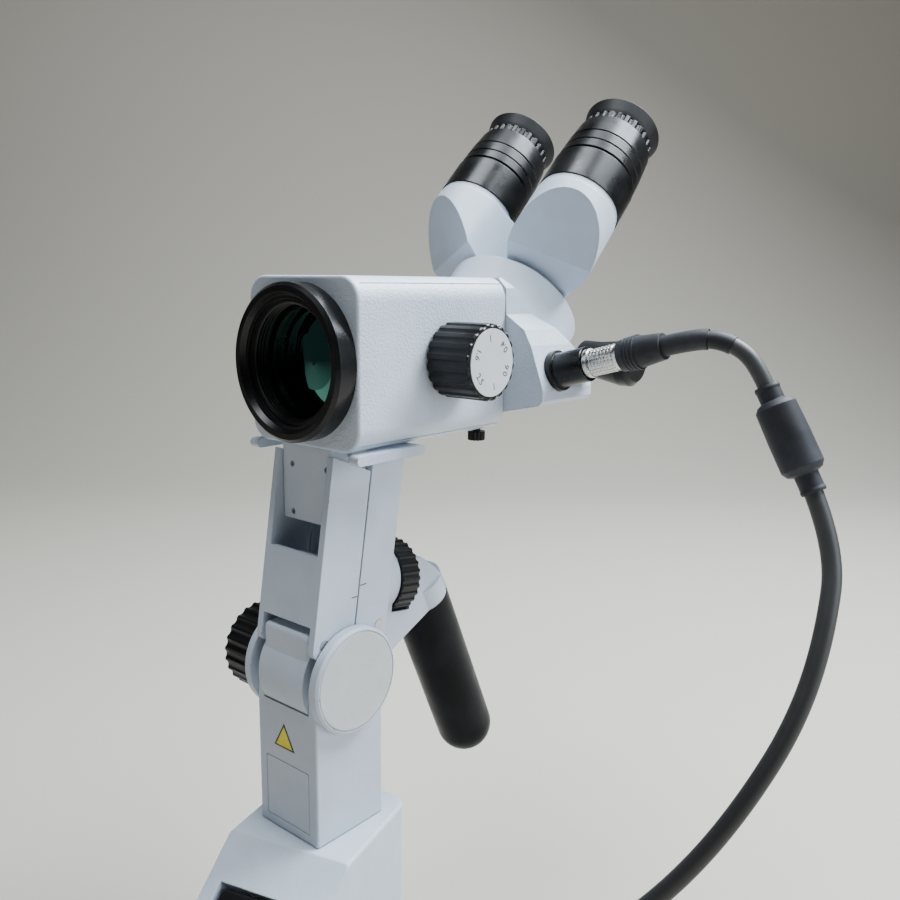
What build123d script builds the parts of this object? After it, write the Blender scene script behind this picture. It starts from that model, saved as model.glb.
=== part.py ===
from build123d import *
import math
import os

# Binocular examination microscope head on a fine-focus parallelogram arm.
# Millimetres.  Origin: mouth of the column socket, on the underside of the stand head.
# +Z up, the objective looks along -Y, the magnification knob is on the +X side.

# ---------------------------------------------------------------- driving dimensions
# stand head
HOUSING_TURN = 16.0          # the stand head is swivelled this far from the pillar
HOUSING_HALF_W = 32.5
HOUSING_BACK = 31.0
HOUSING_TOP_FRONT = -29.5    # where the flat top ends and the slope starts
HOUSING_H = 118.0
HOUSING_NOSE_Y = -78.0
HOUSING_WALL = 3.0
SLOPE_DEG = 37.0
BASE_PLATE_T = 4.0
SOCKET_R = 12.5              # column socket bore
SOCKET_DEPTH = 36.0
SLOT_HALF_W = 25.0
SLOT_START = 23.0            # down the slope, from the edge of the flat top
SLOT_LEN = 24.0
SLOT_DEPTH = 11.0
PADDLE_GAP = 1.5
PADDLE_T = 5.0
BEARING_R = 16.0
BEARING_T = 9.0

# pillar and tilt joint
PILLAR_W = 41.5
PILLAR_D = 42.6
PILLAR_WALL = 4.0
PILLAR_LIFT = 0.6            # air gap over the stand head
TILT_Z = 196.0               # height of the tilt axis
KNUCKLE_R = 24.4
KNUCKLE_W = 31.2
KNUCKLE_GAP = 0.4
BOSS_R = 25.2
BOSS_X = 26.0                # outer face of the round bosses
SPINDLE_R = 11.0
TILT_SHAFT_R = 5.0
COVER_R = 23.4
COVER_T = 1.4
CLAMP_KNOB_R = 21.5
CLAMP_KNOB_T = 20.0
EAR_CHAMFER = 9.0
PANEL_HALF = 15.3            # label panel, half its width
PANEL_LOW = 123.0
PANEL_HIGH = 154.0
TONGUE_FRONT = -20.9         # the block on the knuckle that carries the lower pivots
TONGUE_BACK = 23.6

# parallelogram arm
LEAN = 9.0                   # the arm leans back this far at rest
LINK_LEN = 73.0              # pivot to pivot along a link
PIVOT_GAP = 34.6             # front to rear pivots, level
FRONT_PIVOT_Y = -14.6
LOWER_PIVOT_Z = 216.0
PIN_R = 2.5
RUN_FIT = 0.05               # radial clearance of a running pin
ARM_W = 39.6
LINK_WALL = 3.5
LINK_FRONT = -6.4            # front face, from the front pivots, square to the link
LINK_BACK = 39.4             # rear face, same measure
SEAM = 18.2                  # joint line between the links, same measure
SEAM_GAP = 0.9
WEB_LOW = 8.0                # front web, from the lower pivot up the link
WEB_HIGH = 40.0
END_R = 9.9                  # rounded upper end of the side walls
PIN_COVER = 1.0              # of the side walls, outside the upper pins
SIDE_GAP = 0.5               # carrier and tongue to the inside of the side walls
TONGUE_TOP = 221.0
LINK_FOOT = -6.2             # lower edge of the side walls, from the lower pivot
BACK_WEB_T = 2.5
CARRIER_FRONT = -6.3
CARRIER_HOLE_R = 1.4
CARRIER_SKIRT = 19.5         # below the upper front pivot
EAR_R = 5.6                  # carrier around the rear pivot

# focus drive and handle
WHEEL_R = 19.3
WHEEL_T = 12.0
WHEEL_BACK = 10.6            # front face of the wheel behind the rear face of the arm
WHEEL_UP = 18.0              # wheel axis above the rear lower pivot, along the link
BRACKET_HALF_W = 13.4
FOCUS_SHAFT_R = 3.0
PINION_TEETH = 12
GEAR_MODULE = 1.0
PINION_Y = 14.0              # front end of the pinion, in the link frame
PINION_T = 7.0
TOOTH_HALF = 0.62
TOOTH_TIP_HALF = 0.35
TOOTH_OUT = 0.8
TOOTH_IN = 1.1
BRACKET_FRONT = 27.4
HANDLE_TILT = 65.6           # handle axis below the horizontal
HANDLE_R = 15.7
HANDLE_LEN = 112.0
HANDLE_TOP = (70.5, 212.2)   # y, z of the middle of its upper end

# microscope head
HEAD_W = 72.0
HEAD_H = 76.0
HEAD_L = 102.0
HEAD_CORNER = 10.5
HEAD_WALL = 3.0
HEAD_Z = 342.0               # optical axis
HEAD_FRONT = -7.6
RING_R = 35.2
RING_PROUD = 10.6
RING_BORE = 26.5
LENS_R = 26.0
KNOB_BACK = 59.7             # drum axis behind the front face
KNOB_R = 17.6
KNOB_PROUD = 24.5
DIAL_R = 15.4
DRUM_R = 27.0
DRUM_W = 50.0
DRUM_SHAFT_R = 5.0
LENS_PAIR_X = 11.5           # half the spacing of the two beams
BEAM_R = 8.5
LEFT_KNOB_T = 14.0
PLATE_T = 4.6
PLATE_L = 43.0
PLATE_MIDDLE = 5.0           # front edge of the plate between its two horns
PLATE_HORN = 31.0            # inner side of a horn
CLAMP_SCREW_AT = (27.0, 84.0)

# rear casting and binocular tube
REAR_GAP = 0.2
REAR_L = 58.0
REAR_HALF_W = 59.7
REAR_FLOOR = -29.0
FILTER_KNOB_AT = (48.0, 131.0, 340.3)
FILTER_DROP = 3.0            # its axis below the horizontal
FILTER_SHAFT_R = 3.0
SLOPE_SUM = 143.0            # y + z of the 45 degree face, from head front and optical axis
TURRET_A0 = 101.4            # along the tube axis, same origin
TURRET_A1 = 130.0
TURRET_V = -95.0             # across the tube axis, upwards
TURRET_R = 38.6
INPUT_V = -92.0
EYE_V = -63.4
EYE_X = 35.1
TUBE_R = 23.8
INPUT_R = 11.2
SPIGOT_R = 8.6
TUBE_GAP = 0.5
TUBE_TOP = 167.5
SLEEVE_START = 171.5
EYEPIECE_BORE = 15.0
BARREL_REACH = 9.0           # the eyepiece's spigot goes this far into the tube
KNURL_R = 20.6
CUP_R = 22.2
RING_AT = 48.5               # dioptre ring, from the start of the sleeve
RING_LEN = 5.9
FACET = (0.54, 0.84)         # rise of the front facet, outwards and upwards across the tube
FACET_A = 137.3
UNDER = (0.20, 0.28)
UNDER_A = 136.1

# cable
PLUG_RISE = 15.0             # socket axis above the horizontal
SOCKET_AT = (54.5, 110.8, 333.3)
PLUG_R = 7.3
CABLE_D = 7.5
HOSE_D = 8.2
CHOKE_R = 9.3
NECK_R = 5.25
CHOKE_LEN = 38.5             # down to where the hose enters it
CHOKE_SLEEVE = 11.5          # over the hose
THIN_RUN = 11.2
GLAND_R = 8.0
GLAND_LEN = 28.0
GLAND_Y = 8.0                # in the stand head's own frame
GLAND_Z = 62.0
SOCKET_R_OUT = 8.8
SOCKET_LEN = 21.5
FLANGE_AT = 2.2              # the socket's flange, along its axis
FLANGE_R = 10.3
BOOT_START = 41.0            # along the socket axis
BOOT_END = 63.0
LAST_RUN = 33.0              # of the hose, straight out of the gland

os.makedirs("parts", exist_ok=True)

LOW = (Align.CENTER, Align.CENTER, Align.MIN)


# ---------------------------------------------------------------- helpers
def save(name, shape):
    export_step(shape, f"parts/{name}.step")


def rod(start, direction, radius, length):
    """A round bar that starts at a point and runs along a direction."""
    return Plane(origin=start, z_dir=direction) * Cylinder(radius, length, align=LOW)


def ring_bar(start, direction, outer, inner, length):
    return rod(start, direction, outer, length) - rod(start, direction, inner, length)


def slab(x0, x1, y0, y1, z0, z1):
    centre = ((x0 + x1) / 2, (y0 + y1) / 2, (z0 + z1) / 2)
    return Pos(*centre) * Box(x1 - x0, y1 - y0, z1 - z0)


def side_prism(points, x0, x1):
    """A prism along X over an outline given as (y, z) points."""
    face = Plane.YZ * make_face(Polyline(*points, close=True))
    return Pos(x0, 0, 0) * extrude(face, amount=x1 - x0)


def fluted(radius, height, flutes, flute_r, depth):
    """A fluted knob blank standing on its own XY plane."""
    outline = Circle(radius) - PolarLocations(radius + flute_r - depth, flutes) * Circle(flute_r)
    return extrude(outline, amount=height)


def turned(profile):
    """A solid of revolution about its own Z from (radius, height) points."""
    return revolve(Plane.XZ * make_face(Polyline(*profile, close=True)), axis=Axis.Z)


# ---------------------------------------------------------------- frames
housing_frame = Rot(0, 0, HOUSING_TURN)
lean = math.radians(LEAN)
link_frame = Location((0, FRONT_PIVOT_Y, LOWER_PIVOT_Z), (-LEAN, 0, 0))
PIVOT_ACROSS = PIVOT_GAP * math.cos(lean)
PIVOT_ALONG = PIVOT_GAP * math.sin(lean)


def tube_plane(a, v, x=0.0):
    """Plane square to the tube axis, at distance a along it and v across it."""
    y = (a - v) * math.sqrt(0.5) + HEAD_FRONT
    z = (a + v) * math.sqrt(0.5) + HEAD_Z
    return Plane(origin=(x, y, z), x_dir=(1, 0, 0), z_dir=(0, 1, 1))


def head_slab(x0, x1, y0, y1, z0, z1):
    return slab(x0, x1, y0 + HEAD_FRONT, y1 + HEAD_FRONT, z0 + HEAD_Z, z1 + HEAD_Z)


# ---------------------------------------------------------------- stand head
slope = math.radians(SLOPE_DEG)
NOSE_Z = HOUSING_H - (HOUSING_TOP_FRONT - HOUSING_NOSE_Y) * math.tan(slope)


def housing_outline(inset):
    """Side view of the stand head, moved inwards by inset."""
    drop = inset / math.cos(slope)
    turn = inset * math.tan(slope / 2)
    return [
        (HOUSING_NOSE_Y + inset, 0),
        (HOUSING_BACK - inset, 0),
        (HOUSING_BACK - inset, HOUSING_H - inset),
        (HOUSING_TOP_FRONT + turn, HOUSING_H - inset),
        (HOUSING_NOSE_Y + inset, NOSE_Z - drop + inset * math.tan(slope)),
    ]


def slope_frame(down, depth=0.0):
    """Frame on the sloping face: X across, Y up the slope, Z out of it."""
    y = HOUSING_TOP_FRONT - down * math.cos(slope) + depth * math.sin(slope)
    z = HOUSING_H - down * math.sin(slope) - depth * math.cos(slope)
    return Location((0, y, z), (SLOPE_DEG, 0, 0))


def make_housing():
    outer = side_prism(housing_outline(0), -HOUSING_HALF_W, HOUSING_HALF_W)
    corners = outer.edges().filter_by(Axis.Z)
    outer = fillet(corners, 10)
    top_ring = outer.faces().sort_by(Axis.Z)[-1].edges()
    outer = fillet(top_ring, 1.6)
    inner_w = HOUSING_HALF_W - HOUSING_WALL
    cavity = side_prism(housing_outline(HOUSING_WALL), -inner_w, inner_w)
    shell = outer - cavity
    mid = SLOT_START + SLOT_LEN / 2
    pocket_wall = slope_frame(mid, SLOT_DEPTH / 2 + HOUSING_WALL / 2) * Box(
        2 * SLOT_HALF_W + 5, SLOT_LEN + 5, SLOT_DEPTH + HOUSING_WALL)
    shell += pocket_wall & side_prism(housing_outline(0.5), -inner_w, inner_w)
    pocket = slope_frame(mid, SLOT_DEPTH / 2 - 5) * Box(2 * SLOT_HALF_W, SLOT_LEN, SLOT_DEPTH + 10)
    shell -= pocket
    hinge = slope_frame(SLOT_START + SLOT_LEN - PADDLE_T, PADDLE_T)
    shell -= hinge * Rot(0, 90, 0) * Cylinder(1.6, 2 * SLOT_HALF_W + 4)
    shell -= rod((0, 0, HOUSING_H - 10), (0, 0, 1), BEARING_R, 20)
    shell += bearing_seat - rod((0, 0, HOUSING_H - 20), (0, 0, 1), BEARING_R, 40)
    gland_hole = rod((HOUSING_HALF_W - 10, GLAND_Y, GLAND_Z), (1, 0, 0), GLAND_R - 2.5, 20)
    shell -= gland_hole
    return shell


bearing_seat = rod((0, 0, HOUSING_H - BEARING_T - 4), (0, 0, 1), BEARING_R + 3.5, BEARING_T + 4 - 1.0)
housing = make_housing()
save("housing_shell", housing_frame * housing)

plate_outline = slab(
    -HOUSING_HALF_W + HOUSING_WALL + 0.1, HOUSING_HALF_W - HOUSING_WALL - 0.1,
    HOUSING_NOSE_Y + HOUSING_WALL + 0.1, HOUSING_BACK - HOUSING_WALL - 0.1, 0, BASE_PLATE_T)
socket_tube = rod((0, 0, 0), (0, 0, 1), SOCKET_R + 4.5, SOCKET_DEPTH + 3)
socket_bore = rod((0, 0, -1), (0, 0, 1), SOCKET_R, SOCKET_DEPTH + 1)
save("housing_base_plate", housing_frame * (plate_outline + socket_tube - socket_bore))

SPINDLE_FOOT = HOUSING_H - BEARING_T - 3.0
save("swivel_bearing", ring_bar((0, 0, HOUSING_H - BEARING_T), (0, 0, 1), BEARING_R, SPINDLE_R + RUN_FIT,
                                BEARING_T - 0.4))

supply = slab(-22, 22, -62, -24, BASE_PLATE_T, BASE_PLATE_T + 26)
save("power_supply", housing_frame * supply)

gland_profile = [(0, -6), (GLAND_R - 2.6, -6), (GLAND_R - 2.6, 0.05), (GLAND_R, 0.05), (GLAND_R, 5),
                 (HOSE_D / 2 + 1.6, 16), (HOSE_D / 2 + 0.9, GLAND_LEN), (0, GLAND_LEN)]
gland_plane = Plane(origin=(HOUSING_HALF_W, GLAND_Y, GLAND_Z), x_dir=(0, 1, 0), z_dir=(1, 0, 0))
gland = gland_plane * turned(gland_profile)
save("hose_gland", housing_frame * gland)

paddle_len = SLOT_LEN - 2 * PADDLE_GAP
paddle = Box(2 * (SLOT_HALF_W - PADDLE_GAP), paddle_len, PADDLE_T)
paddle = fillet(paddle.edges().filter_by(Axis.Z), 4)
paddle = fillet(paddle.faces().sort_by(Axis.Z)[-1].edges(), 1.5)
paddle = slope_frame(SLOT_START + SLOT_LEN / 2, PADDLE_T / 2 + 0.8) * paddle
paddle_axle = slope_frame(SLOT_START + SLOT_LEN - PADDLE_T, PADDLE_T) * Rot(0, 90, 0)
paddle += paddle_axle * Cylinder(1.5, 2 * SLOT_HALF_W + 3.4)
save("release_paddle", housing_frame * paddle)

# ---------------------------------------------------------------- pillar
PILLAR_FOOT = HOUSING_H + PILLAR_LIFT
HALF_W = PILLAR_W / 2
HALF_D = PILLAR_D / 2
NOTCH_HALF = KNUCKLE_W / 2 + 0.3
EAR_TOP = TILT_Z + 1.0

column_side = [(-HALF_D, PILLAR_FOOT), (HALF_D, PILLAR_FOOT), (HALF_D, EAR_TOP - EAR_CHAMFER),
               (HALF_D - EAR_CHAMFER, EAR_TOP), (EAR_CHAMFER - HALF_D, EAR_TOP),
               (-HALF_D, EAR_TOP - EAR_CHAMFER)]
column = side_prism(column_side, -HALF_W, HALF_W)
column = fillet(column.edges().filter_by(Axis.Z), 1.2)
bosses = rod((-BOSS_X, 0, TILT_Z), (1, 0, 0), BOSS_R, 2 * BOSS_X)
bosses = chamfer(bosses.edges().filter_by(GeomType.CIRCLE), 1.2)
bosses -= slab(-HALF_W + 0.01, HALF_W - 0.01, -40, 40, TILT_Z - 40, TILT_Z + 40)
column += bosses
column -= rod((-NOTCH_HALF, 0, TILT_Z), (1, 0, 0), KNUCKLE_R + KNUCKLE_GAP, 2 * NOTCH_HALF)
column -= slab(-NOTCH_HALF, NOTCH_HALF, -40, 40, TILT_Z, TILT_Z + 40)
column -= rod((-BOSS_X - 1, 0, TILT_Z), (1, 0, 0), TILT_SHAFT_R + RUN_FIT, 2 * BOSS_X)
column -= rod((BOSS_X - COVER_T - 0.2, 0, TILT_Z), (1, 0, 0), COVER_R + 0.15, 10)
cavity_top = TILT_Z - KNUCKLE_R - 6
column -= slab(-HALF_W + PILLAR_WALL, HALF_W - PILLAR_WALL, -HALF_D + PILLAR_WALL, HALF_D - PILLAR_WALL,
               PILLAR_FOOT + 6, cavity_top)
column -= rod((0, 0, PILLAR_FOOT - 1), (0, 0, 1), SPINDLE_R - 3, 12)
column -= slab(-PANEL_HALF, PANEL_HALF, -HALF_D - 1, -HALF_D + 0.5, PANEL_LOW, PANEL_HIGH)
save("pillar", column)

spindle = turned([(0, 0), (SPINDLE_R + 4.4, 0), (SPINDLE_R + 4.4, 2.8), (SPINDLE_R, 2.8),
                  (SPINDLE_R, PILLAR_FOOT - SPINDLE_FOOT), (SPINDLE_R - 3.05, PILLAR_FOOT - SPINDLE_FOOT),
                  (SPINDLE_R - 3.05, PILLAR_FOOT - SPINDLE_FOOT + 8), (0, PILLAR_FOOT - SPINDLE_FOOT + 8)])
save("pillar_spindle", Pos(0, 0, SPINDLE_FOOT) * spindle)

label_panel = slab(-PANEL_HALF + 0.3, PANEL_HALF - 0.3, -HALF_D + 0.05, -HALF_D + 0.5,
                   PANEL_LOW + 0.3, PANEL_HIGH - 0.3)
save("label_panel", label_panel)

cover = rod((BOSS_X - COVER_T - 0.2, 0, TILT_Z), (1, 0, 0), COVER_R, COVER_T + 0.3)
save("tilt_cover_disc", chamfer(cover.faces().sort_by(Axis.X)[-1].edges(), 0.4))

tilt_shaft = rod((-BOSS_X - 8, 0, TILT_Z), (1, 0, 0), TILT_SHAFT_R, 2 * BOSS_X + 8 - COVER_T - 0.6)
save("tilt_shaft", tilt_shaft)

knob_plane = Plane(origin=(-BOSS_X - 0.6, 0, TILT_Z), z_dir=(-1, 0, 0))
clamp_knob = fluted(CLAMP_KNOB_R, CLAMP_KNOB_T, 24, 3.0, 1.0)
clamp_knob = chamfer(clamp_knob.faces().sort_by(Axis.Z)[-1].edges(), 0.8)
clamp_knob -= Cylinder(TILT_SHAFT_R + RUN_FIT, 17, align=LOW)
save("tilt_clamp_knob", knob_plane * clamp_knob)

# ---------------------------------------------------------------- tilt knuckle
INNER_HALF = ARM_W / 2 - LINK_WALL
TONGUE_HALF = KNUCKLE_W / 2
REAR_PIVOT_Y = FRONT_PIVOT_Y + PIVOT_GAP

knuckle = rod((-TONGUE_HALF, 0, TILT_Z), (1, 0, 0), KNUCKLE_R, KNUCKLE_W)
tongue = slab(-TONGUE_HALF, TONGUE_HALF, TONGUE_FRONT, TONGUE_BACK, TILT_Z, TONGUE_TOP)
tongue = fillet(tongue.faces().sort_by(Axis.Z)[-1].edges().filter_by(Axis.Y), 3)
tongue = fillet(tongue.faces().sort_by(Axis.Z)[-1].edges().filter_by(Axis.X), 2.5)
tilt_base = knuckle + tongue
tilt_base -= rod((-40, 0, TILT_Z), (1, 0, 0), TILT_SHAFT_R + 0.02, 80)
for pivot_y in (FRONT_PIVOT_Y, REAR_PIVOT_Y):
    tilt_base -= rod((-40, pivot_y, LOWER_PIVOT_Z), (1, 0, 0), PIN_R + RUN_FIT, 80)
tilt_base -= slab(-7, 12, -6, 9, 213, TONGUE_TOP + 1)
save("tilt_base", tilt_base)


def pivot_pins(places, half_length):
    """Pins across the arm, one for each (y, z)."""
    return Compound(children=[
        rod((-half_length, y, z), (1, 0, 0), PIN_R, 2 * half_length) for y, z in places])


upper = [(FRONT_PIVOT_Y + k * PIVOT_GAP + LINK_LEN * math.sin(lean),
          LOWER_PIVOT_Z + LINK_LEN * math.cos(lean)) for k in (0, 1)]
lower = [(FRONT_PIVOT_Y, LOWER_PIVOT_Z), (REAR_PIVOT_Y, LOWER_PIVOT_Z)]
save("lower_pivot_pins", pivot_pins(lower, ARM_W / 2 + 0.3))
save("upper_pivot_pins", pivot_pins(upper, ARM_W / 2 - PIN_COVER - RUN_FIT))

# ---------------------------------------------------------------- links
HALF_ARM = ARM_W / 2
front_edge = SEAM - SEAM_GAP / 2
rear_edge = SEAM + SEAM_GAP / 2


def side_walls(y0, y1, pivot_y, pivot_z, top):
    """Side walls of a link in the link frame; top is the upper edge as (y, height over the upper pivot)."""
    head = pivot_z + LINK_LEN
    edge = [(y, head + height) for y, height in top]
    foot = [(y0, pivot_z + LINK_FOOT), (y1, pivot_z + LINK_FOOT)]
    wall = side_prism([*foot, *reversed(edge)], -HALF_ARM, HALF_ARM)
    cap = rod((-HALF_ARM, pivot_y, head), (1, 0, 0), END_R, ARM_W)
    wall += cap & slab(-HALF_ARM, HALF_ARM, y0, y1, pivot_z, head + END_R + 1)
    foot_edges = wall.faces().sort_by(Axis.Z)[0].edges().filter_by(Axis.X)
    wall = fillet(foot_edges, 4.0)
    return wall - slab(-INNER_HALF, INNER_HALF, y0 - 1, y1 + 1, pivot_z - 50, pivot_z + 200)


def pin_holes(body, pivot_y, pivot_z, radius):
    """A through hole at the lower pivot and blind holes at the upper one."""
    body -= rod((-HALF_ARM - 1, pivot_y, pivot_z), (1, 0, 0), radius, ARM_W + 2)
    blind = rod((PIN_COVER - HALF_ARM, pivot_y, pivot_z + LINK_LEN), (1, 0, 0), radius, ARM_W - 2 * PIN_COVER)
    return body - blind


front_top = [(LINK_FRONT, 12.4), (front_edge, 6.6)]
front_link = side_walls(LINK_FRONT, front_edge, 0, 0, front_top)
front_link += slab(-HALF_ARM, HALF_ARM, LINK_FRONT, LINK_FRONT + LINK_WALL, WEB_LOW, WEB_HIGH)
front_link += slab(-HALF_ARM, HALF_ARM, 10.5, 13.5, WEB_LOW + 6, WEB_HIGH - 4)
front_link = pin_holes(front_link, 0, 0, PIN_R + 0.02)
save("front_link", link_frame * front_link)

rear_top = [(rear_edge, 7.2), (PIVOT_ACROSS, END_R), (LINK_BACK, 4.8)]
rear_link = side_walls(rear_edge, LINK_BACK, PIVOT_ACROSS, PIVOT_ALONG, rear_top)
rear_web = slab(-HALF_ARM, HALF_ARM, LINK_BACK - BACK_WEB_T, LINK_BACK, PIVOT_ALONG + 8.5, PIVOT_ALONG + 56)
rear_link += rear_web
rear_link = pin_holes(rear_link, PIVOT_ACROSS, PIVOT_ALONG, PIN_R + 0.02)

# ---------------------------------------------------------------- focus drive, in the link frame
WHEEL_Y = LINK_BACK + WHEEL_BACK
WHEEL_Z = PIVOT_ALONG + WHEEL_UP
PITCH_R = GEAR_MODULE * PINION_TEETH / 2
TOOTH_PITCH = math.pi * GEAR_MODULE


def pinion_outline():
    points = []
    for tooth in range(PINION_TEETH):
        middle = (tooth + 0.5) * 2 * math.pi / PINION_TEETH
        for radius, half in ((PITCH_R - TOOTH_IN, TOOTH_HALF), (PITCH_R + TOOTH_OUT, TOOTH_TIP_HALF)):
            points.append((radius, middle - half / radius))
        for radius, half in ((PITCH_R + TOOTH_OUT, TOOTH_TIP_HALF), (PITCH_R - TOOTH_IN, TOOTH_HALF)):
            points.append((radius, middle + half / radius))
    return [(r * math.cos(a), r * math.sin(a)) for r, a in points]


drive_axis = Plane(origin=(0, WHEEL_Y, WHEEL_Z), x_dir=(1, 0, 0), z_dir=(0, -1, 0))
pinion_reach = WHEEL_Y - PINION_Y
pinion = extrude(make_face(Polyline(*pinion_outline(), close=True)), amount=PINION_T)
focus_shaft = Pos(0, 0, pinion_reach - PINION_T) * pinion
focus_shaft += Pos(0, 0, -WHEEL_T) * Cylinder(FOCUS_SHAFT_R, pinion_reach + WHEEL_T, align=LOW)
save("focus_shaft", link_frame * (drive_axis * focus_shaft))

wheel = fluted(WHEEL_R, WHEEL_T, 30, 1.6, 0.8)
wheel -= Cylinder(FOCUS_SHAFT_R, WHEEL_T, align=LOW)
save("focus_wheel", link_frame * (drive_axis * Pos(0, 0, -WHEEL_T) * wheel))

RACK_HALF = 5.0 * TOOTH_PITCH


def rack_outline():
    """Rack in X (towards the pinion is negative) and along the link, from the drive axis."""
    points = [(PITCH_R + 4.0, -RACK_HALF), (PITCH_R + 4.0, RACK_HALF)]
    for tooth in range(4, -5, -1):
        along = tooth * TOOTH_PITCH
        for x, z in ((TOOTH_IN, TOOTH_HALF), (-TOOTH_OUT, TOOTH_TIP_HALF),
                     (-TOOTH_OUT, -TOOTH_TIP_HALF), (TOOTH_IN, -TOOTH_HALF)):
            points.append((PITCH_R + x, along + z))
    return points


rack_face = Plane.XZ * make_face(Polyline(*rack_outline(), close=True))
rack = Pos(0, 17.0, WHEEL_Z) * extrude(rack_face, amount=3.5)
save("focus_rack", link_frame * rack)

# ---------------------------------------------------------------- handle bracket
down = math.radians(HANDLE_TILT)
handle_dir = (0, math.cos(down), -math.sin(down))
across = (math.sin(down), math.cos(down))            # along the lower face of the bracket
top_y, top_z = HANDLE_TOP


def under(distance):
    """Point on the bracket's lower face, this far behind the handle's axis."""
    return (top_y + distance * across[0], top_z + distance * across[1])


front_reach = (BRACKET_FRONT - top_y) / across[0]
bracket_side = [under(front_reach), under(5.0), (78.2, 219.5), (73.0, 227.0), (66.0, 233.6),
                (57.0, 240.0), (BRACKET_FRONT + 8, 244.0), (BRACKET_FRONT + 4.5, 222.0)]
bracket = side_prism(bracket_side, -BRACKET_HALF_W, BRACKET_HALF_W)
bracket += rod((0, top_y, top_z), tuple(-c for c in handle_dir), HANDLE_R - 0.4, 12) & slab(
    -20, 20, 40, 120, 150, 236)
collar = Plane(origin=(0, LINK_BACK + 0.02, WHEEL_Z), z_dir=(0, 1, 0)) * Cylinder(
    17.4, WHEEL_BACK - 0.5, align=LOW)
bracket += link_frame * collar
bracket += link_frame * slab(-BRACKET_HALF_W, BRACKET_HALF_W, LINK_BACK, LINK_BACK + 8,
                             PIVOT_ALONG - 6, PIVOT_ALONG + 20)
wheel_room = Plane(origin=(0, WHEEL_Y - 0.5, WHEEL_Z), z_dir=(0, 1, 0)) * Cylinder(
    WHEEL_R + 1.0, WHEEL_T + 1.0, align=LOW)
bracket -= link_frame * wheel_room
shaft_hole = rod((0, LINK_BACK - 10, WHEEL_Z), (0, 1, 0), FOCUS_SHAFT_R + RUN_FIT,
                 WHEEL_BACK + WHEEL_T + 13)
bracket -= link_frame * shaft_hole
save("handle_bracket", bracket)
rear_link -= shaft_hole
save("rear_link", link_frame * rear_link)

handle_plane = Plane(origin=(0, top_y, top_z), x_dir=(1, 0, 0), z_dir=handle_dir)
grip = Cylinder(HANDLE_R, HANDLE_LEN - HANDLE_R, align=LOW)
grip += Pos(0, 0, HANDLE_LEN - HANDLE_R) * Sphere(HANDLE_R)
save("handle_grip", handle_plane * grip)

# ---------------------------------------------------------------- head carrier
PLATE_TOP = HEAD_Z - HEAD_H / 2
PLATE_LOW = PLATE_TOP - PLATE_T
CARRIER_HALF = INNER_HALF - SIDE_GAP
(front_up_y, front_up_z), (rear_up_y, rear_up_z) = upper

carrier = slab(-CARRIER_HALF, CARRIER_HALF, CARRIER_FRONT, rear_up_y, front_up_z, PLATE_LOW)
carrier += rod((-CARRIER_HALF, rear_up_y, rear_up_z), (1, 0, 0), EAR_R, 2 * CARRIER_HALF)
carrier += slab(-CARRIER_HALF, CARRIER_HALF, rear_up_y - EAR_R, rear_up_y, rear_up_z - 2, PLATE_LOW)
carrier += slab(-CARRIER_HALF, CARRIER_HALF, CARRIER_FRONT, CARRIER_FRONT + 9,
                front_up_z - CARRIER_SKIRT, front_up_z)
carrier += slab(-CARRIER_HALF, CARRIER_HALF, CARRIER_FRONT, PLATE_MIDDLE, PLATE_LOW - 1, PLATE_TOP)
carrier -= slab(-CARRIER_HALF + 4, CARRIER_HALF - 4, CARRIER_FRONT + 12, rear_up_y - 9, front_up_z - 9,
                PLATE_LOW - 3)
for pin_y, pin_z in upper:
    carrier -= rod((-40, pin_y, pin_z), (1, 0, 0), PIN_R + RUN_FIT, 80)
for hole_x in (-9.5, 13.8):
    for hole_z in (front_up_z - 16, front_up_z + 6.5):
        carrier -= rod((hole_x, CARRIER_FRONT - 1, hole_z), (0, 1, 0), CARRIER_HOLE_R, 5)
save("head_carrier", carrier)

mount_plate = slab(-HEAD_W / 2 - 0.6, HEAD_W / 2 + 0.6, HEAD_FRONT - 1.5, HEAD_FRONT - 1.5 + PLATE_L,
                   PLATE_LOW, PLATE_TOP)
mount_plate = fillet(mount_plate.edges().filter_by(Axis.X), PLATE_T / 2 - 0.1)
mount_plate -= slab(-PLATE_HORN, PLATE_HORN, HEAD_FRONT - 10, PLATE_MIDDLE,
                    PLATE_LOW - 1, PLATE_TOP + 1)
save("mount_plate", mount_plate)

# ---------------------------------------------------------------- head casing and optics
HALF_HEAD = HEAD_W / 2
HALF_HEIGHT = HEAD_H / 2
DRUM_Y = KNOB_BACK
casing = head_slab(-HALF_HEAD, HALF_HEAD, 0, HEAD_L, -HALF_HEIGHT, HALF_HEIGHT)
casing = fillet(casing.edges().filter_by(Axis.Y), HEAD_CORNER)
casing = fillet(casing.faces().sort_by(Axis.Y)[0].edges(), 1.4)
casing -= head_slab(-HALF_HEAD + HEAD_WALL, HALF_HEAD - HEAD_WALL, HEAD_WALL + 1, HEAD_L + 1,
                    -HALF_HEIGHT + HEAD_WALL, HALF_HEIGHT - HEAD_WALL)
casing -= rod((0, HEAD_FRONT - 1, HEAD_Z), (0, 1, 0), RING_BORE + 2.5, 8)
casing -= rod((-HALF_HEAD - 1, HEAD_FRONT + DRUM_Y, HEAD_Z), (1, 0, 0), DRUM_SHAFT_R + RUN_FIT, HEAD_W + 2)
for stub_y, stub_x in ((82.0, -14.0), (88.0, 10.0)):
    casing += rod((stub_x, stub_y, PLATE_TOP - 2.4), (0, 0, 1), 3.2, 3)
casing -= rod((*CLAMP_SCREW_AT, PLATE_TOP - 1), (0, 0, 1), 2.0 + RUN_FIT, HEAD_WALL + 2)
save("head_casing", casing)

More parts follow.
